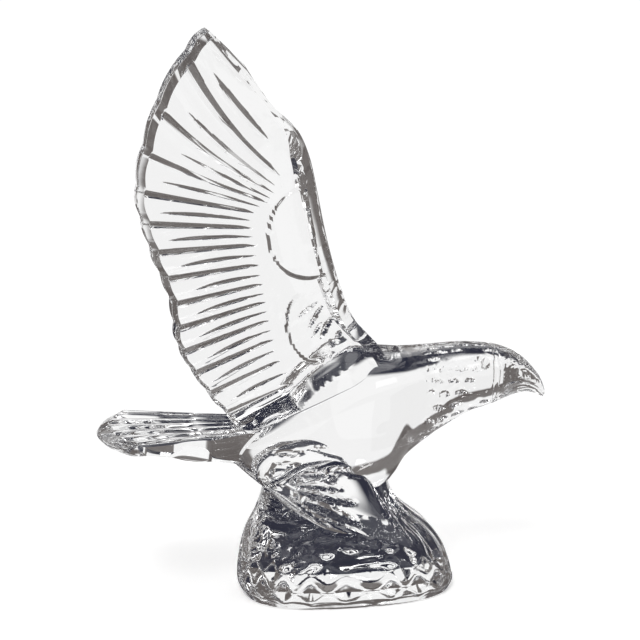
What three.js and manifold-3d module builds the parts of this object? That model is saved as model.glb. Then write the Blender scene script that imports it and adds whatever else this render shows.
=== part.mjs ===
// A clear crystal eagle on a rock: head level, wings raised and pressed together, tail spread behind.
// The bird and the rock are one casting, so they are joined into one solid.
// Millimetres, +Z up, beak towards +X. The origin is the middle of the rock's flat underside.

import * as THREE from 'three';
import { mergeVertices } from 'three/addons/utils/BufferGeometryUtils.js';
import Module from 'manifold-3d';

const wasm = await Module();
wasm.setup();

// Rock
const rockLength = 68;
const rockDepth = 46;
const bellyHeight = 30;           // lowest point of the bird's belly above the underside
const neckBury = 8;               // how far the rock's neck runs up into the belly
const rockHeight = bellyHeight + neckBury;
const rockSquareness = 2.5;       // 2 is an ellipse in plan, more is squarer
const facetDepth = 1.1;           // cut facets round the rock's foot
const facetRowHeight = 5.8;
const facetRows = 2;
const facetsRound = 21;
const rockFoot = 2.4;             // plain rounded foot under the facets
const hammerDepth = 0.8;          // rougher dimples above the facets
const hammerRise = 2;             // height over which they begin
const hammerTurns = 5;            // dimples round the rock

// Body, neck and head: full widths across the bird
const bodyWidth = 36.5;
const neckWidth = 23;
const headWidth = 19.5;
const beakWidth = 8.6;
const rumpWidth = 16;

// Eye
const eyeRadius = 1.9;
const eyeProud = 0.5;
const eyeStretch = { x: 1.25, z: 0.8 };
const eyePlace = { station: 8.9, rise: 0.76 };   // station of the body, share of the way up from the belly

// Tail
const tailWidth = 41;
const tailRootWidth = 19;
const tailTipThickness = 3.3;
const tailRootThickness = 14;
const tailTipArc = 7;             // how much the middle feathers reach past the outer ones
const tailFeathers = 6;
const tailGroove = 1.5;
const tailRim = 3.5;              // plain rim behind the ends of the tail's grooves
const tailEdge = 0.6;             // how far its blunt end's middle stands out

// Wings: both together are one slab, thick in front and thin behind, with a cleft all round its rim
const wingFrontThickness = 23.2;
const wingBackThickness = 9.6;
const wingTipThickness = 17;
const leadRounding = 4;           // radius of each wing's leading edge, so also the cleft's depth there
const tipCleft = 1.6;             // depth of the cleft behind, at the wing tip
const rootCleft = 1.2;            // and low down by the body
const frontCleft = 0.1;           // and along the first feather's front edge, in feathers
const cleftStep = 0.5;            // width of the cleft's bottom where it is closed up
const rimBevel = 2;               // bevel across the feathers' ends
const rimDrop = 0.36;             // share of the thickness that it takes off
const rootFlare = 6;              // concave sweep from the wing out to the flank
const flareSpanFront = 1.25;      // height of that sweep at the leading edge, in feathers
const flareSpanBack = 0.45;       // and at the feathers' ends
const feathers = 14;
const featherGroove = 1.5;        // depth of the valley between two feathers
const quillGroove = 0.75;         // depth of the fine line down the middle of a feather
const featherScallop = 0.7;       // how far each feather's end stands out past the valleys
const primaryBow = 2.2;           // curve of the longest feathers
const bowLines = { start: 10, full: 12.5, end: 13 };   // feather lines where that curve comes in and goes

// Feathered legs
const legBulge = 5;
const legBury = 9;                // depth of a leg's hidden side inside the rock
const legSpread = 25;             // between the middles of the two legs at the hip
const footSpread = 30;            // and at the toes
const legGroove = 1;
const legPlumes = 5;
const legTipShare = 0.12;         // how blunt a leg's two ends are

// Fineness of the faceted solid
const rockSteps = 10;
const bodyRings = 34;
const bodyCrowding = 0.9;         // below 1 puts the rings closer together at the head
const bodySides = 26;
const eyeSides = 14;
const eyeRings = 8;
const tailRings = 9;
const legRings = 14;
const legSides = 22;
const leadTurns = 4;
const covertShares = [0, 0.5];
const featherShares = [0, 0.18, 0.4, 0.65, 0.88];
const featherRows = [-0.2, 0, 0.2, 0.5];   // rows of points beside each feather line, in feathers
const weld = 1e-4;
const sliver = 0.01;              // edges shorter than this, left where two forms just meet, are closed up

// The outlines below are given in the bird's own frame, whose zero height is the belly.

// Back and belly of the body from the rump to the beak's tip: station, back x z, belly x z
const bodyOutline = [
  [0, -38, 21, -37, 14.5],
  [2, -21, 34, -24, 3.5],
  [3, -10, 41, -13, 0],
  [4, 1, 46, 0, 0.7],
  [5, 11, 46.2, 11, 5.8],
  [6, 19.5, 45.8, 18, 14],
  [8, 37, 46.8, 37, 25],
  [9, 46, 46.2, 44.5, 27.2],
  [10, 52, 44.8, 50, 28.6],
  [11, 57, 42, 54.5, 29.7],
  [12, 61, 38, 58.5, 30.2],
  [13, 63.8, 34, 62, 29.4],
  [14, 65.2, 30, 64.4, 28.2],
];

// Width at those stations, with the step where the beak leaves the face
const bodyWidths = [
  [0, rumpWidth],
  [4, bodyWidth],
  [5, 0.95 * bodyWidth],
  [7, 0.5 * (neckWidth + 0.7 * bodyWidth)],
  [8, neckWidth],
  [9.3, headWidth],
  [10, 0.94 * headWidth],
  [11, 1.5 * beakWidth],
  [12, beakWidth],
  [13, 0.6 * beakWidth],
  [14, 0.25 * beakWidth],
];

// Squareness of the body's cross-section there: 2 is an ellipse, more fills its corners out
const bodySquareness = [
  [0, 2.3],
  [3, 3],
  [5, 2.7],
  [8, 2.1],
  [14, 2],
];

// The wing's feather lines from root to tip: feather, leading edge x z, covert x z, feather end x z
const wingOutline = [
  [-1, 10, 36, -10, 25, -29, 17],
  [0, 11.6, 45.5, -11.3, 34.6, -34.1, 24.3],
  [2, 2, 57.7, -17.1, 50.9, -44.4, 37],
  [4, -2.6, 68.8, -18.9, 63.2, -52.1, 50.4],
  [6, -5.7, 79.4, -20.7, 73.5, -54.7, 65.5],
  [8, -7.9, 89.1, -22.2, 84.4, -60.7, 82],
  [10, -9.7, 98.3, -23.1, 92.4, -64.3, 101.3],
  [12, -12.4, 109.9, -22.5, 99.1, -57.2, 126.8],
  [13, -16.3, 117.8, -21.4, 106.4, -48.3, 141.2],
  [14, -24.6, 125.5, -32.2, 137.5, -42.4, 147.7],
];

// Where the wing's three thicknesses are taken: x at the front and back, then the tip's x and z
const thicknessPlace = { front: -8, back: -62.5, middle: 90, tipX: -42.4, tipZ: 147.7 };

// The rock's profile from the underside to the top of its neck, in shares of its height, of half its
// length behind and in front, and of half its depth
const rockProfile = [
  [0, 0.94, 0.98, 0.96],
  [0.07, 0.985, 1.015, 1],
  [0.22, 0.985, 0.975, 0.985],
  [0.37, 0.96, 0.91, 0.93],
  [0.53, 0.91, 0.78, 0.86],
  [0.68, 0.83, 0.575, 0.75],
  [0.84, 0.765, 0.43, 0.69],
  [1, 0.735, 0.37, 0.65],
];

// The leg feathers' lower and upper edge from the rump to the toes: station, lower x z, upper x z
const legOutline = [
  [0, -27.5, 8, -26, 10],
  [1, -20.6, 1.4, -14, 16],
  [2, -8.7, -6.4, -1, 16],
  [3, 3.7, -11.2, 8.5, 3],
  [4, 18.3, -15.2, 19.5, -13],
];

// The tail's middle line: root and tip x, with the height of its top there
const tailRoot = { x: -24, top: 24.5 };
const tailTip = { x: -76.6, top: 26 };

// A smooth curve through rows [place, value, ...], each row's slope taken from its neighbours
function along(rows, place) {
  let row = 0;
  while (row < rows.length - 2 && rows[row + 1][0] < place) row++;
  const [a, b] = [rows[row], rows[row + 1]];
  const before = rows[Math.max(row - 1, 0)];
  const after = rows[Math.min(row + 2, rows.length - 1)];
  const span = b[0] - a[0];
  const t = (place - a[0]) / span;
  return a.slice(1).map((start, i) => {
    const end = b[i + 1];
    const startSlope = (end - before[i + 1]) / (b[0] - before[0]);
    const endSlope = (after[i + 1] - start) / (after[0] - a[0]);
    return (2 * t ** 3 - 3 * t ** 2 + 1) * start + (t ** 3 - 2 * t ** 2 + t) * span * startSlope
      + (3 * t ** 2 - 2 * t ** 3) * end + (t ** 3 - t ** 2) * span * endSlope;
  });
}

const mix = (a, b, share) => a + (b - a) * share;
const clamp = (value, low, high) => Math.min(Math.max(value, low), high);
const smooth = (low, high, value) => {
  const t = clamp((value - low) / (high - low), 0, 1);
  return t * t * (3 - 2 * t);
};
const bluntPower = (value, squareness) => Math.sign(value) * Math.abs(value) ** (2 / squareness);

// Evenly spaced numbers from first to last, both included
const evenly = (first, last, steps) =>
  Array.from({ length: steps + 1 }, (_, i) => mix(first, last, i / steps));

// A closed skin over rings of equally many points. An end is capped by a fan, or left to close by
// itself where its ring is folded flat so that its two halves meet.
function skin(rings, folded = { first: false, last: false }) {
  const count = rings[0].length;
  const points = rings.flat();
  const faces = [];
  for (let ring = 0; ring + 1 < rings.length; ring++) {
    for (let side = 0; side < count; side++) {
      const here = ring * count + side;
      const next = ring * count + (side + 1) % count;
      faces.push([here, next, next + count], [here, next + count, here + count]);
    }
  }
  const fan = (ring, turned) => {
    const middle = points.length;
    points.push(rings[ring].reduce((sum, p) => sum.add(p), new THREE.Vector3()).divideScalar(count));
    for (let side = 0; side < count; side++) {
      const here = ring * count + side;
      const next = ring * count + (side + 1) % count;
      faces.push(turned ? [middle, next, here] : [middle, here, next]);
    }
  };
  if (!folded.first) fan(0, true);
  if (!folded.last) fan(rings.length - 1, false);
  return toSolid(points, faces);
}

// Points and faces to a solid with its faces outwards
function toSolid(points, faces) {
  const volume = faces.reduce((sum, [a, b, c]) =>
    sum + points[a].dot(points[b].clone().cross(points[c])), 0);
  const outward = volume > 0 ? faces : faces.map(([a, b, c]) => [a, c, b]);
  const geometry = new THREE.BufferGeometry().setFromPoints(points);
  geometry.setIndex(outward.flat());
  const merged = mergeVertices(geometry, weld);
  return new wasm.Manifold(new wasm.Mesh({
    numProp: 3,
    vertProperties: merged.attributes.position.array,
    triVerts: new Uint32Array(merged.index.array),
  }));
}

const birdPoint = (x, y, z) => new THREE.Vector3(x, y, z + bellyHeight);

// Body, neck and head: rings slung between the back line and the belly line
function body() {
  const last = bodyOutline.at(-1)[0];
  const rings = evenly(0, 1, bodyRings).map((share) => {
    const station = last * share ** bodyCrowding;
    const [backX, backZ, bellyX, bellyZ] = along(bodyOutline, station);
    const half = along(bodyWidths, station)[0] / 2;
    const [squareness] = along(bodySquareness, station);
    return evenly(0, 2 * Math.PI, bodySides).slice(0, -1).map((angle) => {
      const rise = (1 + bluntPower(Math.cos(angle), squareness)) / 2;
      const y = half * bluntPower(Math.sin(angle), squareness);
      return birdPoint(mix(bellyX, backX, rise), y, mix(bellyZ, backZ, rise));
    });
  });
  return skin(rings);
}

// A lens-shaped eye on each side of the head
function eyes() {
  const { station, rise } = eyePlace;
  const [backX, backZ, bellyX, bellyZ] = along(bodyOutline, station);
  const side = along(bodyWidths, station)[0] / 2 * Math.sqrt(1 - (2 * rise - 1) ** 2);
  const ball = new THREE.SphereGeometry(eyeRadius, eyeSides, eyeRings);
  ball.deleteAttribute('normal').deleteAttribute('uv');
  const { position } = ball.attributes;
  const merged = mergeVertices(ball, weld);
  const faces = Array.from({ length: merged.index.count / 3 }, (_, i) =>
    [0, 1, 2].map((corner) => merged.index.getX(3 * i + corner)));
  const points = Array.from({ length: merged.attributes.position.count }, (_, i) =>
    new THREE.Vector3().fromBufferAttribute(merged.attributes.position, i));
  return [-1, 1].map((sign) => toSolid(points.map((p) => birdPoint(
    mix(bellyX, backX, rise) + eyeStretch.x * p.x,
    sign * (side - eyeRadius + eyeProud) + p.y,
    mix(bellyZ, backZ, rise) + eyeStretch.z * p.z,
  )), faces));
}

// Half the thickness of the wing slab at a place in the bird's frame
function wingHalf(x, z) {
  const { front, back, middle, tipX, tipZ } = thicknessPlace;
  const wedge = (wingFrontThickness - wingBackThickness) / 2 / (front - back);
  const spread = (wingTipThickness / 2 - wingBackThickness / 2 - wedge * (tipX - back)) / (tipZ - middle);
  return wingBackThickness / 2 + wedge * (x - back) + spread * (z - middle);
}

// How deep the feathers' carving is at a feather line and a share of the way out to the feather's end:
// valleys at whole lines, and between them quill lines that stop short of both ends
function carving(line, out) {
  const across = Math.abs(line - Math.round(line));
  const valley = featherGroove * (1 - smooth(0, 0.2, across)) * smooth(0, 0.3, out);
  const quill = quillGroove * smooth(0.38, 0.5, across) * smooth(0.05, 0.3, out) * (1 - smooth(0.6, 0.85, out));
  return (valley + quill) * smooth(0.3, 0.9, line);
}

// How far the concave sweep at the wing's root stands out, at a share of the way back along it
function flare(line, share) {
  const level = clamp(1 - line / mix(flareSpanFront, flareSpanBack, share), 0, 1);
  return line < 0 ? 0 : rootFlare * (1 - Math.sqrt(1 - level ** 2));
}

// One ring of the wing along a feather line: round the leading edge, out over the near coverts and
// feather, over the bevelled end into the cleft, and back over the far side. A flat ring runs in the
// middle plane along the bottom of the cleft, and closes the slab.
function wingRing(line, flat = false) {
  const [leadX, leadZ, covertX, covertZ, endX, endZ] = along(wingOutline, line);
  const lead = new THREE.Vector2(leadX, leadZ);
  const covert = new THREE.Vector2(covertX, covertZ);
  const end = new THREE.Vector2(endX, endZ);
  const inward = covert.clone().sub(lead).normalize();
  const backward = covert.clone().sub(end).normalize();
  const { start, full, end: bowEnd } = bowLines;
  const bow = primaryBow * smooth(start, full, line) * (1 - smooth(bowEnd, feathers, line));
  const sideways = new THREE.Vector2(-backward.y, backward.x).multiplyScalar(-4 * bow);
  const half = (p) => wingHalf(p.x, p.y);
  const side = [];
  for (const turn of evenly(0, Math.PI, leadTurns).slice(0, -1)) {
    const inset = flat ? leadRounding + cleftStep * turn / Math.PI : leadRounding * (1 - Math.sin(turn));
    const p = lead.clone().addScaledVector(inward, inset);
    side.push([p, half(p) * (1 - Math.cos(turn)) / 2]);
  }
  const crest = lead.clone().addScaledVector(inward, leadRounding + (flat ? cleftStep : 0));
  for (const share of covertShares) {
    const p = crest.clone().lerp(covert, share);
    side.push([p, half(p) + smooth(-0.1, 0.5, share) * flare(line, share / 2)]);
  }
  const scallop = featherScallop * (1 - Math.abs(Math.sin(Math.PI * line)));
  const cleft = mix(rootCleft, tipCleft, smooth(0, feathers * 0.8, line));
  const shoulder = end.clone().addScaledVector(backward, scallop + (flat ? cleft + 2 * cleftStep : rimBevel));
  for (const out of featherShares) {
    const p = covert.clone().lerp(shoulder, out).addScaledVector(sideways, out * (1 - out));
    side.push([p, half(p) + (1 - 0.7 * smooth(0.6, 1, out)) * flare(line, (1 + out) / 2) - carving(line, out)]);
  }
  for (const [inset, height] of [[rimBevel, 1], [0, 1 - rimDrop], [cleft, 0]]) {
    const p = end.clone().addScaledVector(backward, scallop + (flat ? cleft + cleftStep * height : inset));
    side.push([p, (half(p) + 0.3 * flare(line, 1)) * height - (height === 1 ? carving(line, 1) : 0)]);
  }
  const lift = flat ? 0 : 1;
  const near = side.map(([p, y]) => birdPoint(p.x, -y * lift, p.y));
  const far = side.slice(1, -1).reverse().map(([p, y]) => birdPoint(p.x, y * lift, p.y));
  return [...near, ...far];
}

function wings() {
  const lines = [-0.8, 0, 0.25, 0.5];
  for (let feather = 1; feather < feathers; feather++) {
    lines.push(...featherRows.map((row) => feather + row));
  }
  lines.push(feathers - 0.25, feathers - 0.08, feathers);
  const rings = lines.map((line) => wingRing(line));
  rings.unshift(wingRing(lines[0], true));
  rings.push(wingRing(feathers - frontCleft, true));
  return skin(rings, { first: true, last: true });
}

// The tail: a wedge that fans out, its feathers cut as valleys in the top
function tail() {
  const across = evenly(-1, 1, 2 * tailFeathers);
  const ring = (share, squash) => {
    const half = mix(tailRootWidth, tailWidth, share ** 1.1) / 2;
    const top = mix(tailRoot.top, tailTip.top, share);
    const thick = mix(tailRootThickness, tailTipThickness, share ** 0.8);
    const point = (v, height, i) => {
      const x = mix(tailRoot.x, tailTip.x + tailTipArc * v * v, share);
      const plain = x - tailTip.x < tailRim || Math.abs(v) === 1;
      const valley = i % 2 || plain ? 0 : tailGroove * smooth(0.15, 0.5, share);
      const z = top - thick * (1 - height) - valley * height;
      return birdPoint(x, half * v, mix(z, top - thick / 2, squash));
    };
    return [
      ...across.map((v, i) => point(v, 1, i)),
      ...across.map((v, i) => point(v, 0, i)).reverse(),
    ];
  };
  const rings = [...evenly(0, 0.93, tailRings), 1].map((share) => ring(share, 0));
  rings.push(ring(1 + tailEdge / (tailRoot.x - tailTip.x), 1));
  return skin(rings, { first: false, last: true });
}

// One leg's feathers, a leaf-shaped lens on the rock's flank with plumes cut along it
function leg(sign) {
  const last = legOutline.at(-1)[0];
  const rings = evenly(0, last, legRings).map((station) => {
    const share = station / last;
    const [lowX, lowZ, highX, highZ] = along(legOutline, station);
    const middle = sign * mix(legSpread, footSpread, share) / 2;
    const bulge = legBulge * Math.sqrt(Math.max(legTipShare, 1 - (2 * share - 1) ** 4));
    return evenly(0, 2 * Math.PI, legSides).slice(0, -1).map((angle) => {
      const rise = (1 - Math.cos(angle)) / 2;
      const plume = legGroove * Math.abs(Math.sin(Math.PI * legPlumes * rise)) * smooth(0.1, 0.4, share);
      const proud = Math.sin(angle) > 0 ? (bulge + plume) * Math.sin(angle) : legBury * Math.sin(angle);
      const y = middle + sign * proud;
      return birdPoint(mix(lowX, highX, rise), y, mix(lowZ, highZ, rise));
    });
  });
  return skin(rings);
}

// The rock: a flared block with a flat underside, cut facets in staggered rows round its foot and
// rougher hammered dimples above them
function rock() {
  const facetTop = rockFoot + facetRows * facetRowHeight;
  const heights = [0, rockFoot / 2, ...evenly(rockFoot, facetTop, 2 * facetRows),
    ...evenly(facetTop, rockHeight, rockSteps).slice(1)];
  const sides = 2 * facetsRound;
  const rings = heights.map((z, row) => {
    const [back, front, side] = along(rockProfile, z / rockHeight);
    return evenly(0, 2 * Math.PI, sides).slice(0, -1).map((angle, i) => {
      const c = bluntPower(Math.cos(angle), rockSquareness);
      const s = bluntPower(Math.sin(angle), rockSquareness);
      const facet = z > rockFoot && z < facetTop ? facetDepth * ((row + i) % 2) : 0;
      const fade = smooth(facetTop, facetTop + hammerRise, z) * (1 - smooth(0.5, 0.8, z / rockHeight));
      const rough = hammerDepth * fade * Math.sin(hammerTurns * angle + 0.7 * z) * Math.sin(1.1 * z);
      const length = (c > 0 ? front : back) * rockLength / 2 - facet - rough;
      return new THREE.Vector3(length * c, (side * rockDepth / 2 - facet - rough) * s, z);
    });
  });
  return skin(rings);
}

const parts = [rock(), body(), tail(), wings(), leg(-1), leg(1), ...eyes()];
const casting = parts.reduce((joined, part) => joined.add(part)).simplify(sliver);
const { numProp, vertProperties, triVerts } = casting.getMesh();

const geometry = new THREE.BufferGeometry();
geometry.setAttribute('position', new THREE.BufferAttribute(new Float32Array(vertProperties), numProp));
geometry.setIndex(new THREE.BufferAttribute(new Uint32Array(triVerts), 1));
geometry.computeVertexNormals();

const crystal = new THREE.MeshStandardMaterial({ color: 0xe9ecee, roughness: 0.05, metalness: 0 });
const eagle = new THREE.Mesh(geometry, crystal);
eagle.name = 'eagle';

const figurine = new THREE.Group();
figurine.add(eagle);
export default figurine;
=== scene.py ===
# A clear crystal eagle landing on a rock, standing on a pale studio table.
# Shapes are worked out in millimetres, +Z up, beak towards +X, and become metres in the mesh.
import math

import bmesh
import bpy
import numpy as np
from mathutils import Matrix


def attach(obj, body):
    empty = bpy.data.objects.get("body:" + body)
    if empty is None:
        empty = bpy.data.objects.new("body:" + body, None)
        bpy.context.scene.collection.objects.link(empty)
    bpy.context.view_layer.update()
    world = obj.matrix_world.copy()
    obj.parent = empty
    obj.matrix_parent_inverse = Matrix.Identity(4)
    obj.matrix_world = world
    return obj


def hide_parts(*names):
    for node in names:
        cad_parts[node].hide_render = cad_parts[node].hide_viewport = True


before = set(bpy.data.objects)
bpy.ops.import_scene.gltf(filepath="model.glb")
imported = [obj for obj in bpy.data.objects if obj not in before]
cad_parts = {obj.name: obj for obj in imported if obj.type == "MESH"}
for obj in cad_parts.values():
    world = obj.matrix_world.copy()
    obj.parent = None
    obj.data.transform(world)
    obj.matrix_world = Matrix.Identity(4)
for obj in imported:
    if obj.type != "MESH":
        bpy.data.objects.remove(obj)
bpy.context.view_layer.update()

MM = 0.001
weld = 0.002                 # points closer than this are one
least_width = 1e-3           # keeps a cut that has run out from dividing by zero
outline_steps = 4000         # fineness at which the outline of a rounded box is measured

# Rock
rock_length, rock_depth = 68.0, 45.8
belly_height = 30.0          # lowest point of the belly above the table
rock_height = 38.0           # to the hidden top of the rock's neck inside the belly
rock_squareness = 2.5
rock_foot = 2.4
facet_row, facet_rows, facets_round = 5.8, 2, 21
facet_depth = 1.2
foot_levels = [0, 0.25, 0.7, 1.3]
facet_sides, facet_levels, upper_levels = 8, 29, 44    # points across a facet, rings over both parts
pit_depth, pit_radius, pits = 1.0, 3.2, 90
rock_radius = 24             # its mean, to lay the pits out by
fold_depth, fold_turns, fold_lean = 0.7, 18, 0.05
fold_heights, fold_shares = (8, 13), (0.75, 0.95)      # where the folds come in, and their end as a share
front_facing = (0.25, 0.8)   # cosines of the angle round the rock between which its front begins

# Body, neck and head: full widths
body_sides, body_spacing = 144, 2.8   # points round it, spaced evenly for this squareness
body_width, neck_width, head_width, beak_width, rump_width = 36.5, 23.0, 19.5, 8.6, 16.0

# Leaf-shaped cuts on neck, crown and throat. From mid-height up to stroke_full they grow deeper, by
# e to the power stroke_growth over the whole height. Each area comes in and goes between its
# stations, and crown and throat also at a share of the height.
stroke_length, stroke_pitch, stroke_depth, stroke_growth = 5.4, 3.4, 0.95, 3.2
stroke_lean, stroke_gaps, stroke_full = 0.45, 0.15, 0.75
stroke_reach, stroke_half, stroke_steepness = 2.1, 0.6, 3   # lengthways, half-width, lower wall's slope
stroke_drop, stroke_stagger = 0.3, 0.35
row_seed, cell_seed = 7.3, 31.7
neck_stations = (6.3, 6.8, 8.2, 8.6)
crown_stations, crown_rise = (8.0, 8.8, 9.6, 10.0), (0.9, 0.96)
throat_stations, throat_rise = (6.0, 6.8, 9.6, 10.2), (0.18, 0.3)

# Face. Places are stations of the body and shares of its height, and so are widths; depths, the eye
# and the hammered beak's spacing along and round it are in millimetres.
cere_depth, cere_station, cere_width, cere_bow = 0.35, 9.42, 0.06, 0.9
mouth_depth, mouth_rise, mouth_climb, mouth_width = 0.4, 0.26, 0.03, 0.035
mouth_stations = (9.7, 10.2)
nostril_depth, nostril_station, nostril_length, nostril_rise, nostril_width = 0.5, 10.75, 0.13, 0.62, 0.05
brow_height, brow_station, brow_length, brow_rise, brow_width = 0.55, 8.9, 0.75, 0.9, 0.045
eye_station, eye_rise, eye_radius, eye_slope, eye_rim = 8.65, 0.79, 1.5, 1.9, 0.4
station_length = 9           # from one station to the next at the eye
hammer_depth, hammer_along, hammer_round, hammer_start = 0.055, 2.1, 1.7, (9.45, 9.6)

# Tail
tail_width, tail_root_width = 41.0, 19.0
tail_tip_thickness, tail_root_thickness = 3.3, 14.0
tail_tip_arc, tail_rim, tail_bevel = 7.0, 3.2, 1.7
tail_edge = 0.6              # how far its blunt end's middle stands out
tail_feathers, tail_groove, tail_valley = 6, 1.5, 0.32
valley_shares, valley_sides = (0.1, 0.45), (0.02, 0.08)   # where the valleys come in, along and across
valley_end_slope = 0.6       # half the length over which they end before the rim
tail_feather_sides = 14
tail_stretches = [(0, 0.9, 44), (0.91, 1, 14)]            # first and last share, rings

# Wings, both together one slab
wing_front, wing_back, wing_tip = 23.2, 9.6, 17.0
lead_rounding, lead_wedge = 4.0, 1.15         # depth of the leading edge, 1 for a straight wedge
lead_fading, lead_lines = 0.75, (12, 13.6)    # how much of that depth goes, over these feather lines
lead_step = 0.3              # width of the cleft's bottom in front, for that depth
lead_steps, covert_steps, feather_steps = 8, 26, 31
# Where the lines of points across one feather lie, in hundredths of it: closest round valley and
# quill. Before them come those of the buried root, and after them the longest feather's front edge.
root_lines = [-0.8, -0.3, 0]
feather_rows = [0, 3, 7, 11, 16, 21, 27, 34, 41, 45, 48, 50, 53, 57, 61, 66, 73, 81, 88, 93, 96, 98]
tip_cleft, root_cleft, front_cleft = 1.6, 1.2, 0.1
full_cleft = 0.8             # share of the feathers over which the cleft grows deeper
cleft_step = 0.5             # width of the cleft's bottom where it is closed up
rim_bevel, rim_drop = 2.0, 0.36
rim_lines = (3, 9)           # feather lines over which the bevel grows from half its width
bevel_curve = [0.0, 0.08, 0.3, 0.65, 1.0]
front_thinning = 0.22        # share of the thickness gone at the first feather's front edge
root_flare, flare_span_front, flare_span_back = 6.0, 0.5, 0.45
flare_foot, flare_power = 0.62, 1.2           # share of the way back where its foot reaches the root
flare_ripple, flare_ripples = 0.06, 3
flare_in, flare_out = (-0.1, 0.5), (0.6, 1)   # shares of covert and feather where it comes and goes
flare_left = 0.7             # share of it that is left at the feathers' ends
feathers = 14
long_feathers = (11, 12.5)   # feather lines where the longest ones begin
first_cuts = (0.3, 0.9)      # feather lines over which the first feather's cuts come in
valley_root, valley_end, valley_fade = 0.8, 1.9, 0.15
quill_width, quill_start, quill_end, quill_spread = 1.1, 0.04, 0.78, 0.12
groove_slope, long_groove_slope, groove_shift = 0.62, 1.15, 0.22
steep_share, long_steep_share = 0.2, 0.8      # steep wall's width for the gentle wall's
far_carving = 0.15
feather_start, start_lines = 0.17, (9, 11.5)  # bare share at a feather's root, and where it fades out
feather_crowding = 1.25      # above 1 puts points along a feather closer together at its root
feather_scallop = 0.7
primary_bow, bow_lines = 2.2, (10, 12.5, 13, 14)
pad_height, pad_cut_slope, pad_lines = 1.1, 2.0, (0.9, 1.4)
sharp_edge = 29              # degrees between faces from which an edge shows as cut and not as moulded

# Feathered legs
leg_bulge, leg_bury = 5.0, 9.0
leg_spread, foot_spread = 25.0, 30.0
leg_tip_share = 0.12         # how blunt a leg's two ends are
leaf_slope, leg_squareness = 1.3, 3.5
leg_rings, leg_sides, leg_hidden_sides = 90, 120, 12

# Studio: the paper disc, and the oval of painted shade under the bird that the crystal sees: its
# # middle, its half length and half depth, and the share of them that it takes to fade out
paper_radius, paper_sides, air_gap = 160 * MM, 96, 0.15 * MM
shade_x, shade_y, shade_length, shade_depth, shade_fade = -5.0, 26.0, 82.0, 80.0, 0.2
# colour of the painted shade, and how brightly the paper glows where the crystal sees it
painted_shade_colour, paper_brightness = "#2C2E3C", 0.95
lamp_place, lamp_aim, lamp_size, lamp_watts = (-0.5, -0.9, 1.3), (0, 0, 0.08), 0.5, 9
backdrop_brightness = 1.05
room_colour = "#66615F"
# Panels round the table: compass direction clockwise from +Y, half its width, lowest and highest
# angle above the table, all in degrees, then colour and brightness. Each lies over those before. In
# turn: the dark ring, the lit ceiling, the white wall and floor beyond the table, the floor on the
# other three sides, and a bright window.
sky_panels = [
    (12, 180, 36, 62, "#14172A", 1.0),
    (12, 180, 64, 90, "#FFFFFF", 2.0),
    (12, 31, 14, 36, "#FFFFFF", 0.95),
    (12, 31, -90, 0, "#FFFFFF", 0.92),
    (192, 31, -90, 0, "#FFFFFF", 0.92),
    (90, 10, -90, 0, "#FFFFFF", 0.92),
    (270, 10, -90, 0, "#FFFFFF", 0.92),
    (150, 12, 18, 34, "#FFFFFF", 2.2),
]
panel_edge = 3.0

# Outlines in the bird's own frame, whose zero height is the belly

# Station, back x z, belly x z
body_outline = [
    (0, -38, 21, -37, 14.5), (2, -21, 34, -24, 3.5), (3, -10, 41, -13, 0), (4, 1, 46, 0, 0.7),
    (5, 11, 46.2, 11, 5.8), (6, 19.5, 45.8, 18, 14), (8, 37, 46.8, 37, 25), (9, 46, 46.2, 44.5, 27.2),
    (10, 52, 44.8, 50, 28.6), (11, 57, 42, 54.5, 29.7), (12, 61, 38, 58.5, 30.2),
    (13, 63.8, 34, 62, 29.4), (14, 65.2, 30, 64.4, 28.2),
]
# Station, width
body_widths = [
    (0, rump_width), (4, body_width), (5, 0.95 * body_width),
    (7, 0.5 * (neck_width + 0.7 * body_width)), (8, neck_width), (9.1, head_width),
    (9.36, 0.99 * head_width), (9.45, 0.955 * head_width), (10, 0.79 * head_width), (11, 1.19 * beak_width),
    (12, 0.675 * beak_width), (13, 0.28 * beak_width), (14, 0.19 * beak_width),
]
# Station, squareness of the section: 2 is an ellipse, more fills its corners out
body_squareness = [
    (0, 2.3), (3, 3), (4, 3.3), (5, 3.8), (6, 3.6), (7, 3.2), (8, 2.8), (9.5, 2.6), (11, 2.1), (14, 2),
]
# Rings along the body: first and last station of each stretch, and how many rings it has
body_stretches = [(0, 5.6, 22), (5.7, 6.2, 5), (6.24, 9.4, 84), (9.46, 14, 46)]

# Feather line, leading edge x z, covert x z, feather end x z
wing_outline = [
    (-1, 10, 36, -10, 25, -29, 17), (0, 11.6, 45.5, -11.3, 34.6, -34.1, 24.3),
    (2, 2, 57.7, -17.1, 50.9, -44.4, 37), (4, -2.6, 68.8, -18.9, 63.2, -52.1, 50.4),
    (6, -5.7, 79.4, -20.7, 73.5, -54.7, 65.5), (8, -7.9, 89.1, -22.2, 84.4, -60.7, 82),
    (10, -9.7, 98.3, -23.1, 92.4, -64.3, 101.3), (12, -12.4, 109.9, -22.5, 99.1, -57.2, 126.8),
    (13, -16.3, 117.8, -21.4, 106.4, -48.3, 141.2), (14, -24.6, 125.5, -32.2, 137.5, -42.4, 147.7),
]
# Where the slab's thicknesses are taken: x in front and behind, a middle height, the tip's x and z
thickness_front, thickness_back, thickness_middle = -8.0, -62.5, 90.0
thickness_tip = (-42.4, 147.7)

# Share of the height, shares of half the length behind and in front, share of half the depth
rock_profile = [
    (0, 0.94, 0.98, 0.96), (0.07, 0.985, 1.015, 1), (0.22, 0.985, 0.975, 0.985),
    (0.37, 0.96, 0.91, 0.93), (0.53, 0.91, 0.78, 0.86), (0.68, 0.83, 0.575, 0.75),
    (0.84, 0.765, 0.43, 0.69), (1, 0.735, 0.37, 0.65),
]

# Station, lower edge x z, upper edge x z
leg_outline = [
    (0, -27.5, 8, -26, 10), (1, -20.6, 1.4, -14, 16), (2, -8.7, -6.4, -1, 16),
    (3, 3.7, -11.2, 8.5, 3), (4, 18.3, -15.2, 19.5, -13),
]
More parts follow.
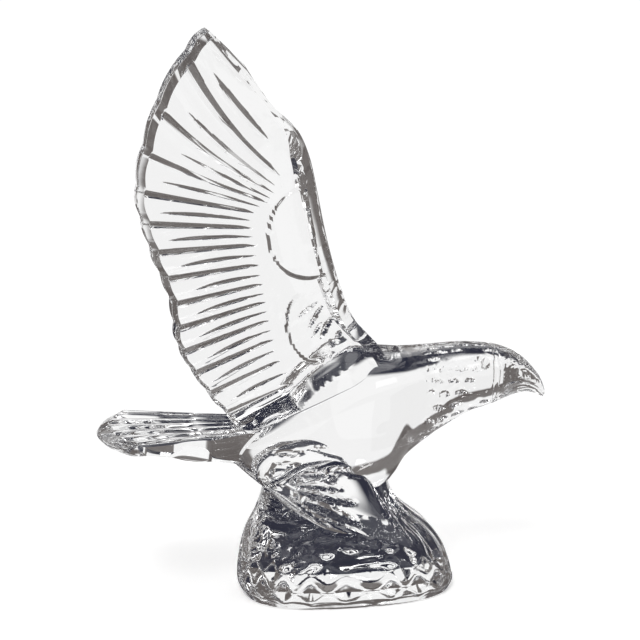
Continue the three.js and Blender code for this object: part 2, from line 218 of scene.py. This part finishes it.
# Leaf-shaped cuts in the lower pad and in the leg: start x z, end x z, half-width
pad_strokes = [
    (-16.8, 60.3, -10.5, 65.2, 0.6), (-13.8, 56.2, -9.3, 63.9, 0.7), (-9.8, 53.6, -6.5, 60.1, 0.9),
    (-5.3, 51.3, -3.8, 56, 0.8), (-12.5, 54, -9.5, 58.5, 0.5),
]
leg_leaves = [
    (-19, 9.5, -3.8, 7.6, 1.1), (-18.6, 7.6, 0.2, 2.6, 1.7), (-16.5, 4.2, 1.2, -3.8, 2.1),
    (-13, -0.5, 4, -8.6, 0.8), (-18, 12.4, -8, 12.2, 1.0), (-8, 13.6, 6.5, 11.4, 1.3),
    (-21, 6, -8, -5.2, 0.7),
]

tail_root_x, tail_root_top = -24.0, 24.5
tail_tip_x, tail_tip_top = -76.6, 26.0
# Share of the tail's length, and how far its side leans in under the edge for its height
tail_undercut = [
    (0, 0.3), (0.43, 0.3), (0.5, 0.08), (0.64, 0.08), (0.7, 0.3), (0.9, 0.3), (0.95, 0.02), (1, 0),
]

# Raised shoulder pads on the wing: middle x z, half-axes, turn in degrees
wing_pads = [(-13.2, 86.5, 12.5, 14.5, -6), (-10.5, 57.5, 9.5, 12.5, 14)]


def along(rows, place):
    """Values at each place on the cubic curve through rows (place, value, ...). Each row's slope is
    that of the line between its neighbours."""
    rows = np.array(rows, float)
    knots, values = rows[:, 0], rows[:, 1:]
    slope = np.gradient(values, axis=0)
    slope[1:-1] = (values[2:] - values[:-2]) / (knots[2:] - knots[:-2])[:, None]
    slope[0] = (values[1] - values[0]) / (knots[1] - knots[0])
    slope[-1] = (values[-1] - values[-2]) / (knots[-1] - knots[-2])
    place = np.asarray(place, float)
    low = np.clip(np.searchsorted(knots, place, side="right") - 1, 0, len(knots) - 2)
    span = (knots[low + 1] - knots[low])[..., None]
    t = (place - knots[low])[..., None] / span
    return ((2 * t**3 - 3 * t**2 + 1) * values[low] + (t**3 - 2 * t**2 + t) * span * slope[low]
            + (3 * t**2 - 2 * t**3) * values[low + 1] + (t**3 - t**2) * span * slope[low + 1])


def smooth(low, high, value):
    """Zero below low, one above high, and an S-shaped rise between them."""
    t = np.clip((value - low) / (high - low), 0, 1)
    return t * t * (3 - 2 * t)


def between(stations, value):
    """One between the second and third station, zero before the first and past the fourth."""
    start, full, fade, end = stations
    return smooth(start, full, value) * (1 - smooth(fade, end, value))


def bell(value, place, width):
    """A bell-shaped rise: one at its place, and about a third a width away from it."""
    return np.exp(-((value - place) / width) ** 2)


def blunt(value, squareness):
    """A sine or cosine bent so that an ellipse becomes a rounded box."""
    return np.sign(value) * np.abs(value) ** (2 / squareness)


def scatter(seed):
    """A number from 0 to 1 that looks random but is fixed for its seed."""
    return np.mod(np.sin(seed * 12.9898 + 4.137) * 43758.5453, 1)


def even_angles(sides, squareness):
    """Angles that share the outline of a rounded box into equal lengths."""
    angle = np.linspace(0, 2 * np.pi, outline_steps + 1)
    step = np.hypot(np.diff(blunt(np.cos(angle), squareness)), np.diff(blunt(np.sin(angle), squareness)))
    length = np.concatenate([[0], np.cumsum(step)])
    return np.interp(np.linspace(0, length[-1], sides + 1)[:-1], length, angle)


def closed_mesh(name, points, folded_first=False, folded_last=False):
    """A closed mesh over rings of points, an array of ring by side by xyz in millimetres. An end is
    capped, or is a ring folded flat whose two halves are welded together."""
    rings, sides = points.shape[:2]
    index = np.arange(rings * sides).reshape(rings, sides)
    turned = np.roll(index, -1, axis=1)
    quads = np.stack([index[:-1], turned[:-1], turned[1:], index[1:]], axis=-1).reshape(-1, 4)
    faces = quads.tolist()
    if not folded_first:
        faces.append(index[0, ::-1].tolist())
    if not folded_last:
        faces.append(index[-1].tolist())
    mesh = bpy.data.meshes.new(name)
    mesh.from_pydata((points.reshape(-1, 3) * MM).tolist(), [], faces)
    tidy = bmesh.new()
    tidy.from_mesh(mesh)
    bmesh.ops.remove_doubles(tidy, verts=tidy.verts, dist=weld * MM)
    bmesh.ops.recalc_face_normals(tidy, faces=tidy.faces)
    tidy.to_mesh(mesh)
    tidy.free()
    return mesh


def bird(x, y, z):
    """Points of the bird's own frame lifted onto the rock, as one array."""
    x, y, z = np.broadcast_arrays(x, y, z)
    return np.stack([x, y, z + belly_height], axis=-1)


def feather_strokes(length, girth):
    """Depth of the short leaf-shaped cuts on the neck: staggered rows round the neck, one cut in
    each cell, its place and depth varied from cell to cell."""
    row = np.floor(girth / stroke_pitch)
    shifted = length / stroke_length + 0.5 * np.mod(row, 2) + stroke_stagger * scatter(row)
    cell = np.floor(shifted)
    lot = scatter(row * row_seed + cell * cell_seed)
    lengthways = (shifted - cell - 0.5) * stroke_reach
    below = (girth / stroke_pitch - row - 0.5) * 2 - stroke_drop + stroke_lean * lengthways * (lot - 0.5)
    leaf = np.maximum(stroke_half * np.clip(1 - lengthways**2, 0, 1), least_width)
    cut = np.clip(np.minimum(1 + below / leaf, 1 - stroke_steepness * below / leaf), 0, 1)
    return stroke_depth * cut * leaf / stroke_half * (lot > stroke_gaps)


def body_solid():
    """Body, neck and head: a rounded section slung between the back line and the belly line at each
    station, with the face and the neck's feathers cut into it along the section's own radius."""
    station = np.concatenate([np.linspace(first, last, rings) for first, last, rings in body_stretches])
    back_x, back_z, belly_x, belly_z = np.moveaxis(along(body_outline, station), -1, 0)[..., None]
    half = along(body_widths, station) / 2
    squareness = along(body_squareness, station)
    angle = even_angles(body_sides, body_spacing)[None]
    turned = 2 * np.pi * np.arange(body_sides)[None] / body_sides
    rise = (1 + blunt(np.cos(angle), squareness)) / 2
    across = blunt(np.sin(angle), squareness)
    station = station[:, None]

    steps = np.hypot(np.diff(0.5 * (back_x + belly_x), axis=0), np.diff(0.5 * (back_z + belly_z), axis=0))
    length = np.concatenate([[[0.0]], np.cumsum(steps, axis=0)])
    girth = np.abs(np.mod(turned + np.pi, 2 * np.pi) - np.pi) * (half + 0.5 * (back_z - belly_z)) / 2
    neck = between(neck_stations, station)
    crown = between(crown_stations, station) * smooth(*crown_rise, rise)
    throat = between(throat_stations, station) * (1 - smooth(*throat_rise, rise))
    cut = feather_strokes(length, girth) * np.clip(neck + crown + throat, 0, 1)
    cut = cut * np.exp(stroke_growth * (np.clip(rise, 0.5, stroke_full) - 0.5))
    cut = cut * np.where(across > 0, far_carving, 1)
    cere = cere_depth * bell(station, cere_station - cere_bow * (rise - 0.5) ** 2, cere_width)
    mouth = mouth_depth * bell(rise, mouth_rise + mouth_climb * (station - 10), mouth_width)
    mouth = mouth * smooth(*mouth_stations, station)
    nostril = nostril_depth * bell(station, nostril_station, nostril_length)
    nostril = nostril * bell(rise, nostril_rise, nostril_width)
    brow = brow_height * bell(station, brow_station, brow_length) * bell(rise, brow_rise, brow_width)
    over_eye = (rise - eye_rise) * (back_z - belly_z)
    from_eye = np.hypot((station - eye_station) * station_length, over_eye)
    eye = eye_slope * (eye_radius - over_eye) * np.clip((eye_radius - from_eye) / eye_rim, 0, 1)
    hammer = hammer_depth * smooth(*hammer_start, station)
    hammer = hammer * np.sin(2 * np.pi * length / hammer_along + 1.3 * np.sin(girth))
    hammer = hammer * np.sin(2 * np.pi * girth / hammer_round + length)
    proud = brow - cut - cere - mouth - nostril - eye - hammer

    x = belly_x + (back_x - belly_x) * rise
    y = half * across
    z = belly_z + (back_z - belly_z) * rise
    out_x = (back_x - belly_x) * (rise - 0.5)
    out_z = (back_z - belly_z) * (rise - 0.5)
    proud = proud / np.sqrt(out_x**2 + out_z**2 + y**2)
    return closed_mesh("body", bird(x + proud * out_x, y + proud * y, z + proud * out_z))


def wing_half(x, z):
    """Half the slab's thickness: a wedge, thick in front and thin behind, that spreads upwards."""
    wedge = (wing_front - wing_back) / 2 / (thickness_front - thickness_back)
    tip_x, tip_z = thickness_tip
    spread = (wing_tip / 2 - wing_back / 2 - wedge * (tip_x - thickness_back)) / (tip_z - thickness_middle)
    return wing_back / 2 + wedge * (x - thickness_back) + spread * (z - thickness_middle)


def groove(above, width, line):
    """Depth of a cut, from the distance above its bottom: the wall above is as wide as given and
    gentle, the wall below is steep, and in the longest feathers both are steep."""
    width = np.maximum(width, least_width)
    long = smooth(*long_feathers, line)
    depth = width * (groove_slope + (long_groove_slope - groove_slope) * long)
    steep = width * (steep_share + (long_steep_share - steep_share) * long)
    return depth * np.clip(np.minimum(1 - above / width, 1 + above / steep), 0, 1)


def feather_carving(line, out, pitch):
    """How deep the feathers are cut: a valley a little inside each whole feather line, wider towards
    the feather's end, and a leaf-shaped quill line down each feather's middle that stops short of
    both ends. The widths are in millimetres; the pitch is that between two feather lines there."""
    shifted = line + groove_shift
    start = feather_start * (1 - smooth(*start_lines, line))
    out = np.clip((out - start) / (1 - start), 0, 1)
    wide = (valley_root + (valley_end - valley_root) * out) * smooth(0, valley_fade, out)
    valley = groove((shifted - np.round(shifted)) * pitch, wide, line)
    end = quill_end + quill_spread * scatter(np.floor(shifted))
    along_quill = np.clip((out - quill_start) / (end - quill_start), 0, 1)
    leaf = np.clip(np.sin(np.pi * along_quill), 0, 1) ** 0.7
    quill = groove((np.mod(shifted, 1) - 0.5) * pitch, quill_width * leaf, line)
    return np.maximum(valley, quill) * smooth(*first_cuts, line)


def pad_relief(x, z):
    """Height of the raised, smooth shoulder pads, ovals with a steep edge behind and below that
    sink into the wing in front."""
    height = 0
    for middle_x, middle_z, radius_x, radius_z, turn in wing_pads:
        c, s = math.cos(math.radians(turn)), math.sin(math.radians(turn))
        u = (c * (x - middle_x) + s * (z - middle_z)) / radius_x
        v = (-s * (x - middle_x) + c * (z - middle_z)) / radius_z
        from_middle = np.hypot(u, v)
        behind = smooth(0.2, 0.9, -u / np.maximum(from_middle, 0.1))
        edge = 1 - smooth(0.9 + 0.05 * behind, 1.04 - 0.02 * behind, from_middle)
        height = height + pad_height * edge * (1 - smooth(-0.5, 0.3, u + 0.5 * v))
    return height


def wing_side(line, carving=1.0, flat=False):
    """One side of the wing along each feather line, from the middle of the leading edge to the middle
    of the feather's end: x, z and distance from the middle plane. The leading edge is a blunt wedge,
    the coverts and the feather are straight in plan, and the end is bevelled and then dips into the
    cleft. A flat line runs along the bottom of the cleft."""
    line = np.atleast_1d(np.asarray(line, float))
    lead, covert, end = np.split(along(wing_outline, line), 3, axis=-1)
    inward = covert - lead
    inward = (inward / np.linalg.norm(inward, axis=-1, keepdims=True))[:, None]
    backward = covert - end
    backward = (backward / np.linalg.norm(backward, axis=-1, keepdims=True))[:, None]
    sideways = np.stack([-backward[..., 1], backward[..., 0]], axis=-1)
    low, high = np.clip(line - 0.5, -1, feathers), np.clip(line + 0.5, -1, feathers)
    spacing = ((along(wing_outline, high) - along(wing_outline, low)) / (high - low)[:, None])[:, None]
    covert_pitch = np.abs(np.sum(spacing[..., 2:4] * sideways, axis=-1))
    end_pitch = np.abs(np.sum(spacing[..., 4:6] * sideways, axis=-1))
    lead, covert, end, line = lead[:, None], covert[:, None], end[:, None], line[:, None]
    bow = (primary_bow * between(bow_lines, line))[..., None]
    scallop = feather_scallop * (1 - np.abs(np.sin(np.pi * line)))
    cleft = root_cleft + (tip_cleft - root_cleft) * smooth(0, full_cleft * feathers, line)

    turn = np.linspace(0, 1, lead_steps + 1)[None, :-1]
    rounding = lead_rounding * (1 - lead_fading * smooth(*lead_lines, line))
    inset = rounding * (1 + lead_step * turn if flat else np.abs(1 - 2 * turn) ** lead_wedge)
    lead_part = lead + inward * inset[..., None]
    share = np.linspace(0, 1, covert_steps + 1)[None, :-1]
    crest = lead + inward * (rounding * (1 + lead_step if flat else 1))[..., None]
    covert_part = crest + (covert - crest) * share[..., None]

    out = np.linspace(0, 1, feather_steps + 1)[None, :-1] ** feather_crowding
    rim = rim_bevel * (0.5 + 0.5 * smooth(*rim_lines, line))
    shoulder = end + backward * (scallop + (cleft + 0.8 if flat else rim))[..., None]
    feather_part = covert + (shoulder - covert) * out[..., None]
    feather_part = feather_part - 4 * bow * sideways * (out * (1 - out))[..., None]

    bevel = np.array(bevel_curve)
    rim_inset = np.concatenate([1 - bevel, [0.0, 0.5, 1.0]])[None]
    rim_height = np.concatenate([1 - rim_drop * bevel, [0.5, 0.25, 0.0]])[None]
    rim_steps = rim_height.size
    rim_inset = rim_inset * np.where(np.arange(rim_steps) < bevel.size, rim, cleft)
    if flat:
        rim_inset = cleft + cleft_step * rim_height
    rim_part = end + backward * (scallop + rim_inset)[..., None]

    place = np.concatenate([lead_part, covert_part, feather_part, rim_part], axis=1)
    x, z = place[..., 0], place[..., 1]
    plain = np.ones((len(line), covert_steps + feather_steps))
    lead_height, rim_height = plain[:, :lead_steps] * turn, rim_height * plain[:, :rim_steps]
    height = np.concatenate([lead_height, plain, rim_height], axis=1)
    flared = np.concatenate([
        0 * turn[0], smooth(*flare_in, share[0]), 1 - (1 - flare_left) * smooth(*flare_out, out[0]),
        np.full(rim_steps, flare_left)])
    backwards = np.linspace(0, 1, height.shape[1])
    foot = np.clip(1 - backwards / flare_foot, 0, 1) ** 0.7
    span = flare_span_front + (flare_span_back - flare_span_front) * backwards
    level = np.clip(1 - (line - foot) / span, 0, 1)
    flare = root_flare * level**flare_power + flare_ripple * np.sin(2 * np.pi * flare_ripples * level)
    flare = flare * (line >= 0)
    feather_cut = feather_carving(line, out, covert_pitch + (end_pitch - covert_pitch) * out)
    rim_cut = feather_carving(line, np.ones((1, rim_steps)), end_pitch) * (np.arange(rim_steps) < 1)
    carved = np.concatenate([0 * plain[:, :lead_steps + covert_steps], feather_cut, rim_cut], axis=1)
    on_face = np.arange(height.shape[1]) > lead_steps
    pads = pad_relief(x, z) * on_face * smooth(*pad_lines, line) * carving
    strokes = leaf_cuts(x, z, pad_strokes, pad_cut_slope) * on_face
    front = 1 - front_thinning * smooth(feathers - front_cleft, feathers, line) ** 2
    y = (wing_half(x, z) + flare * flared) * height + pads - carving * (carved + strokes)
    return x, y * front * (0 if flat else 1), z


def wing_solid():
    """Both raised wings as one slab: the near side, then the far side backwards, for each feather
    line from inside the back to the front edge of the longest feather. The far side's feathers are
    cut more softly."""
    one_feather = np.array(feather_rows) / 100
    whole = (np.arange(feathers + 1)[:, None] + one_feather[None, :] - groove_shift).ravel()
    whole = whole[(whole > 0.02) & (whole < feathers - 0.05)]
    line = np.concatenate([root_lines, whole, [feathers - 0.03, feathers]])
    sides = []
    for carving in (1.0, far_carving):
        rings = [wing_side(line[:1], flat=True), wing_side(line, carving),
                 wing_side([feathers - front_cleft], flat=True)]
        sides.append([np.concatenate(parts) for parts in zip(*rings)])
    (x, near_y, z), (_, far_y, _) = sides
    near = bird(x, -near_y, z)
    far = bird(x, far_y, z)[:, -2:0:-1]
    return closed_mesh("wings", np.concatenate([near, far], axis=1), True, True)


def tail_solid():
    """The tail: a wedge that fans out behind, with V-shaped valleys between the feathers on its top.
    Its sides lean in under the edge by a share that varies along the tail."""
    across = np.linspace(-1, 1, tail_feather_sides * tail_feathers + 1)[None]
    share = np.concatenate([np.linspace(first, last, rings) for first, last, rings in tail_stretches])
    share = share[:, None]
    length = tail_tip_x + tail_tip_arc * across**2 - tail_root_x
    x = tail_root_x + length * share
    half = (tail_root_width + (tail_width - tail_root_width) * share**1.1) / 2
    top = tail_root_top + (tail_tip_top - tail_root_top) * share
    thick = tail_root_thickness + (tail_tip_thickness - tail_root_thickness) * share**0.8
    feather = (across + 1) / 2 * tail_feathers
    gap = np.abs(feather - np.round(feather))
    inside = smooth(*valley_sides, 1 - np.abs(across))
    rim = smooth(tail_rim - valley_end_slope, tail_rim + valley_end_slope, -length * (1 - share))
    fade = smooth(*valley_shares, share) * rim * inside
    valley = tail_groove * np.clip(1 - gap / tail_valley, 0, 1) * fade
    bevel = tail_bevel * np.clip(1 + length * (1 - share) / tail_rim, 0, 1)
    upper = bird(x, half * across, top - valley - bevel)
    lower = bird(x, (half - thick * along(tail_undercut, share[:, 0])) * across, top - thick)
    middle = top - (thick + tail_bevel) / 2
    tip = bird(x[-1:] - tail_edge, (half * across)[-1:], middle[-1:])
    rings = np.concatenate([np.concatenate([upper, lower[:, ::-1]], axis=1),
                            np.concatenate([tip, tip[:, ::-1]], axis=1)])
    return closed_mesh("tail", rings, False, True)


def leaf_cuts(x, z, leaves, slope):
    """Depth of leaf-shaped cuts: each is deepest on its midrib, runs to a point, and its walls have
    the given slope."""
    depth = 0
    for start_x, start_z, end_x, end_z, width in leaves:
        long_x, long_z = end_x - start_x, end_z - start_z
        long = math.hypot(long_x, long_z)
        t = ((x - start_x) * long_x + (z - start_z) * long_z) / long**2
        off = np.abs((x - start_x) * long_z - (z - start_z) * long_x) / long
        leaf = width * np.clip(np.sin(np.pi * np.clip(t, 0, 1)), 0, 1) ** 0.6
        depth = np.maximum(depth, slope * np.clip(leaf - off, 0, width))
    return depth


def leg_solid(sign):
    """One leg's feathers: a lens between its lower and upper edge, proud of the rock outside and
    buried in it inside, with leaf-shaped cuts."""
    last = leg_outline[-1][0]
    station = np.linspace(0, last, leg_rings)[:, None]
    share = station / last
    low_x, low_z, high_x, high_z = np.moveaxis(along(leg_outline, station[:, 0]), -1, 0)[..., None]
    middle = (leg_spread + (foot_spread - leg_spread) * share) / 2
    bulge = leg_bulge * np.sqrt(np.maximum(leg_tip_share, 1 - (2 * share - 1) ** 4))
    near = even_angles(leg_sides, leg_squareness)[:leg_sides // 2 + 1]
    angle = np.concatenate([near, np.linspace(np.pi, 2 * np.pi, leg_hidden_sides)[1:-1]])[None]
    rise = (1 - blunt(np.cos(angle), leg_squareness)) / 2
    x = low_x + (high_x - low_x) * rise
    z = low_z + (high_z - low_z) * rise
    proud = blunt(np.sin(angle), leg_squareness)
    outer = bulge * proud - leaf_cuts(x, z, leg_leaves, leaf_slope) * smooth(0.3, 0.8, proud)
    y = sign * (middle + np.where(np.sin(angle) > 0, outer, leg_bury * np.sin(angle)))
    return closed_mesh("leg", bird(x, y, z))


def rock_relief(angle, z):
    """Depth of the rock's cuts: two staggered rows of diamond facets round the foot, hammered pits
    above them, and smooth upright folds in front."""
    pitch = angle * facets_round / (2 * np.pi)
    facet = 0
    for row in range(facet_rows):
        offset = np.mod(pitch + 0.5 * row, 1) - 0.5
        level = (z - rock_foot) / facet_row - row - 0.5
        lot = scatter(np.floor(pitch + 0.5 * row) + 17 * row)
        diamond = np.clip(1 - 2.0 * np.abs(offset) - (1.5 + 0.5 * lot) * np.abs(level), 0, 1)
        facet = np.maximum(facet, facet_depth * diamond)
    top = rock_foot + facet_row * facet_rows
    front = smooth(*front_facing, np.cos(angle))
    hammered = 0
    for pit in range(pits):
        pit_angle = 2 * np.pi * scatter(pit * 1.7 + 3)
        pit_z = top - 1 + (rock_height - top - 6) * scatter(pit * 2.3 + 11)
        radius = pit_radius * (0.55 + 0.7 * scatter(pit * 3.1 + 5))
        turn = np.mod(angle - pit_angle + np.pi, 2 * np.pi) - np.pi
        near = np.hypot(turn * rock_radius, z - pit_z) / radius
        hammered = np.maximum(hammered, pit_depth * np.clip(1 - near**2, 0, 1))
    hammered = hammered * (1 - front)
    fold = fold_depth * (0.5 + 0.5 * np.sin(fold_turns * angle + fold_lean * z)) * front
    fold = fold * smooth(*fold_heights, z) * (1 - smooth(*fold_shares, z / rock_height))
    return facet + hammered + fold


def rock_solid():
    """The rock: rounded-box sections stacked over a flat underside, its relief cut inwards."""
    top = rock_foot + facet_row * facet_rows
    facets = np.linspace(rock_foot, top, facet_levels)
    upper = np.linspace(top, rock_height, upper_levels)[1:]
    z = np.concatenate([foot_levels, facets, upper])[:, None]
    back, front, side = np.moveaxis(along(rock_profile, z[:, 0] / rock_height), -1, 0)[..., None]
    angle = np.linspace(0, 2 * np.pi, facet_sides * facets_round + 1)[None, :-1]
    c = blunt(np.cos(angle), rock_squareness)
    s = blunt(np.sin(angle), rock_squareness)
    depth = rock_relief(angle, z)
    x = (np.where(c > 0, front, back) * rock_length / 2 - depth) * c
    y = (side * rock_depth / 2 - depth) * s
    return closed_mesh("rock", np.stack(np.broadcast_arrays(x, y, z), axis=-1))


def joined(name, meshes):
    """One solid from overlapping closed meshes: Boolean unions, worked out and kept as a mesh."""
    solid = bpy.data.objects.new(name, meshes[0])
    bpy.context.scene.collection.objects.link(solid)
    helpers = [bpy.data.objects.new("helper", mesh) for mesh in meshes[1:]]
    for helper in helpers:
        bpy.context.scene.collection.objects.link(helper)
        union = solid.modifiers.new("union", "BOOLEAN")
        union.operation = "UNION"
        union.solver = "MANIFOLD"
        union.object = helper
    seen = solid.evaluated_get(bpy.context.evaluated_depsgraph_get())
    result = bpy.data.meshes.new_from_object(seen)
    solid.modifiers.clear()
    solid.data = result
    for helper in helpers:
        bpy.data.objects.remove(helper)
    return solid


def linear(hex_colour):
    """An sRGB hex colour as the linear red, green, blue and alpha that shaders take."""
    channels = [int(hex_colour[i:i + 2], 16) / 255 for i in (1, 3, 5)]
    return [c / 12.92 if c <= 0.04045 else ((c + 0.055) / 1.055) ** 2.4 for c in channels] + [1.0]


def add_node(tree, kind, links=(), **settings):
    """A node of the given kind: settings name its properties or, by input name or number, its
    sockets, and links are pairs of an input and the output that feeds it."""
    node = tree.nodes.new(kind)
    inputs = settings.pop("inputs", {})
    for name, value in settings.items():
        setattr(node, name, value)
    for socket, value in inputs.items():
        node.inputs[socket].default_value = value
    for socket, source in links:
        tree.links.new(source, node.inputs[socket])
    return node


def lead_crystal():
    """Full-lead crystal, cast and then fire-polished: quite clear and colourless, bright to the edge,
    with a smooth wet surface that bends the light a little unevenly where it flowed."""
    material = bpy.data.materials.new("lead_crystal_cast_polished")
    material.use_nodes = True
    tree = material.node_tree
    tree.nodes.clear()
    place = add_node(tree, "ShaderNodeTexCoord")
    flow = add_node(tree, "ShaderNodeTexNoise", [("Vector", place.outputs["Object"])],
                    inputs={"Scale": 1 / (14 * MM), "Detail": 1.5, "Roughness": 0.4})
    bump = add_node(tree, "ShaderNodeBump", [("Height", flow.outputs["Fac"])],
                    inputs={"Strength": 0.05, "Distance": 1.2 * MM})
    shader = add_node(tree, "ShaderNodeBsdfPrincipled", [("Normal", bump.outputs["Normal"])], inputs={
        "Base Color": linear("#FFFFFF"), "Roughness": 0.0, "IOR": 1.545, "Transmission Weight": 1.0})
    add_node(tree, "ShaderNodeOutputMaterial", [("Surface", shader.outputs[0])])
    return material


def studio_paper():
    """White seamless paper, matt, with no edge or grain to the eye. The camera sees it lit and
    plain; the crystal sees it glow, with painted shade in a dark oval close to the rock."""
    material = bpy.data.materials.new("white_seamless_paper")
    material.use_nodes = True
    tree = material.node_tree
    tree.nodes.clear()
    paper = add_node(tree, "ShaderNodeBsdfPrincipled", inputs={
        "Base Color": linear("#F6F6F5"), "Roughness": 0.9, "Specular IOR Level": 0.1,
        "Emission Color": linear("#FFFFFF"), "Emission Strength": 0.45})
    place = add_node(tree, "ShaderNodeTexCoord")
    per_metre = (1 / (shade_length * MM), 1 / (shade_depth * MM), 0)
    middle = (-shade_x / shade_length, -shade_y / shade_depth, 0)
    oval = add_node(tree, "ShaderNodeVectorMath", [(0, place.outputs["Object"])],
                    operation="MULTIPLY_ADD", inputs={1: per_metre, 2: middle})
    distance = add_node(tree, "ShaderNodeVectorMath", [(0, oval.outputs["Vector"])], operation="LENGTH")
    lit = add_node(tree, "ShaderNodeMapRange", [("Value", distance.outputs["Value"])],
                   interpolation_type="SMOOTHSTEP", inputs={"From Min": 1 - shade_fade, "From Max": 1.0})
    # painted shade and painted light: the crystal sees an emitting copy of the paper, white, and dark in
    # the oval near the rock
    colour = add_node(tree, "ShaderNodeMix", [("Factor", lit.outputs[0])], data_type="RGBA",
                      inputs={6: linear(painted_shade_colour), 7: linear("#FFFFFF")})
    shaded = add_node(tree, "ShaderNodeEmission", [("Color", colour.outputs[2])],
                      inputs={"Strength": paper_brightness})
    rays = add_node(tree, "ShaderNodeLightPath")
    seen = add_node(tree, "ShaderNodeMixShader", [
        (0, rays.outputs["Is Camera Ray"]), (1, shaded.outputs[0]), (2, paper.outputs[0])])
    add_node(tree, "ShaderNodeOutputMaterial", [("Surface", seen.outputs[0])])
    return material


def table():
    """The table top: a flat disc of paper. The thin air gap over it keeps the polished underside of
    the crystal a mirror from within, as it is where polished glass only rests on paper."""
    bpy.ops.mesh.primitive_circle_add(vertices=paper_sides, radius=paper_radius, fill_type="NGON",
                                      location=(0, 0, -air_gap))
    top = bpy.context.object
    top.name = "table_top"
    top.data.materials.append(studio_paper())


def panel(tree, direction, rise, toward, half_width, low, high):
    """Where a panel of the studio stands in the sky: one inside its range of compass directions and
    heights, zero outside, with a soft edge."""
    a = math.radians(toward)
    ahead = add_node(tree, "ShaderNodeVectorMath", [(0, direction)], operation="DOT_PRODUCT",
                     inputs={1: (math.sin(a), math.cos(a), 0.0)})
    aside = add_node(tree, "ShaderNodeVectorMath", [(0, direction)], operation="DOT_PRODUCT",
                     inputs={1: (math.cos(a), -math.sin(a), 0.0)})
    turn = add_node(tree, "ShaderNodeMath", [(0, aside.outputs["Value"]), (1, ahead.outputs["Value"])],
                    operation="ARCTAN2")
    off = add_node(tree, "ShaderNodeMath", [(0, turn.outputs[0])], operation="ABSOLUTE")
    inside = []
    for value, at, sign in ((off.outputs[0], half_width, -1), (rise, low, 1), (rise, high, -1)):
        soft = sign * panel_edge / 2
        edge = add_node(tree, "ShaderNodeMapRange", [("Value", value)], interpolation_type="SMOOTHSTEP",
                        inputs={"From Min": math.radians(at - soft), "From Max": math.radians(at + soft)})
        inside.append(edge.outputs[0])
    both = add_node(tree, "ShaderNodeMath", [(0, inside[0]), (1, inside[1])], operation="MULTIPLY")
    whole = add_node(tree, "ShaderNodeMath", [(0, both.outputs[0]), (1, inside[2])], operation="MULTIPLY")
    return whole.outputs[0]


def studio_sky():
    """The room round the table. The camera itself sees plain white; the crystal sees a dim grey room
    with bright and dark panels in it."""
    world = bpy.data.worlds.new("studio")
    bpy.context.scene.world = world
    world.use_nodes = True
    tree = world.node_tree
    tree.nodes.clear()
    direction = add_node(tree, "ShaderNodeTexCoord").outputs["Generated"]
    split = add_node(tree, "ShaderNodeSeparateXYZ", [("Vector", direction)])
    rise = add_node(tree, "ShaderNodeMath", [(0, split.outputs["Z"])], operation="ARCSINE").outputs[0]
    room = add_node(tree, "ShaderNodeRGB")
    room.outputs[0].default_value = linear(room_colour)
    seen = room.outputs[0]
    for toward, half_width, low, high, colour, brightness in sky_panels:
        lit = [channel * brightness for channel in linear(colour)[:3]] + [1.0]
        inside = panel(tree, direction, rise, toward, half_width, low, high)
        seen = add_node(tree, "ShaderNodeMix", [("Factor", inside), (6, seen)], data_type="RGBA",
                        inputs={7: lit}).outputs[2]
    rays = add_node(tree, "ShaderNodeLightPath")
    seen = add_node(tree, "ShaderNodeMix", [("Factor", rays.outputs["Is Camera Ray"]), (6, seen)],
                    data_type="RGBA", inputs={7: [backdrop_brightness] * 3 + [1.0]})
    light = add_node(tree, "ShaderNodeBackground", [("Color", seen.outputs[2])], inputs={"Strength": 1.0})
    add_node(tree, "ShaderNodeOutputWorld", [("Surface", light.outputs[0])])


def soft_box(name, place, aim, size, watts):
    """A large square lamp that points at a spot, in metres."""
    lamp = bpy.data.lights.new(name, "AREA")
    lamp.shape = "SQUARE"
    lamp.size = size
    lamp.energy = watts
    holder = bpy.data.objects.new(name, lamp)
    bpy.context.scene.collection.objects.link(holder)
    holder.location = place
    direction = np.array(aim) - np.array(place)
    holder.rotation_euler = (math.atan2(math.hypot(*direction[:2]), -direction[2]), 0,
                             math.atan2(direction[1], direction[0]) - math.pi / 2)


def camera():
    """The photograph's view: a little behind the bird's side and a little above it."""
    azimuth, elevation, distance = math.radians(-12), math.radians(13.5), 0.76
    seen_width = 640 * 0.3085 * MM
    data = bpy.data.cameras.new("camera")
    data.sensor_width = 36
    data.lens = data.sensor_width * distance / seen_width
    eye = bpy.data.objects.new("camera", data)
    bpy.context.scene.collection.objects.link(eye)
    aim = np.array([-7.6, 0.0, 86.6]) * MM
    back = np.array([math.sin(azimuth) * math.cos(elevation), -math.cos(azimuth) * math.cos(elevation),
                     math.sin(elevation)])
    eye.location = aim + distance * back
    eye.rotation_euler = (math.pi / 2 - elevation, 0, azimuth)
    bpy.context.scene.camera = eye


eagle = joined("crystal_eagle", [
    body_solid(), wing_solid(), tail_solid(), rock_solid(), leg_solid(-1), leg_solid(1)])
eagle.data.polygons.foreach_set("use_smooth", np.ones(len(eagle.data.polygons), bool))
eagle.data.set_sharp_from_angle(angle=math.radians(sharp_edge))
eagle.data.materials.clear()
eagle.data.materials.append(lead_crystal())
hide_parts("eagle")
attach(eagle, "root")

table()
studio_sky()
soft_box("key_box", lamp_place, lamp_aim, lamp_size, lamp_watts)
camera()

scene = bpy.context.scene
scene.view_settings.view_transform = "Standard"
scene.cycles.max_bounces = 24
scene.cycles.transmission_bounces = 24
scene.cycles.glossy_bounces = 12
scene.cycles.use_denoising = True
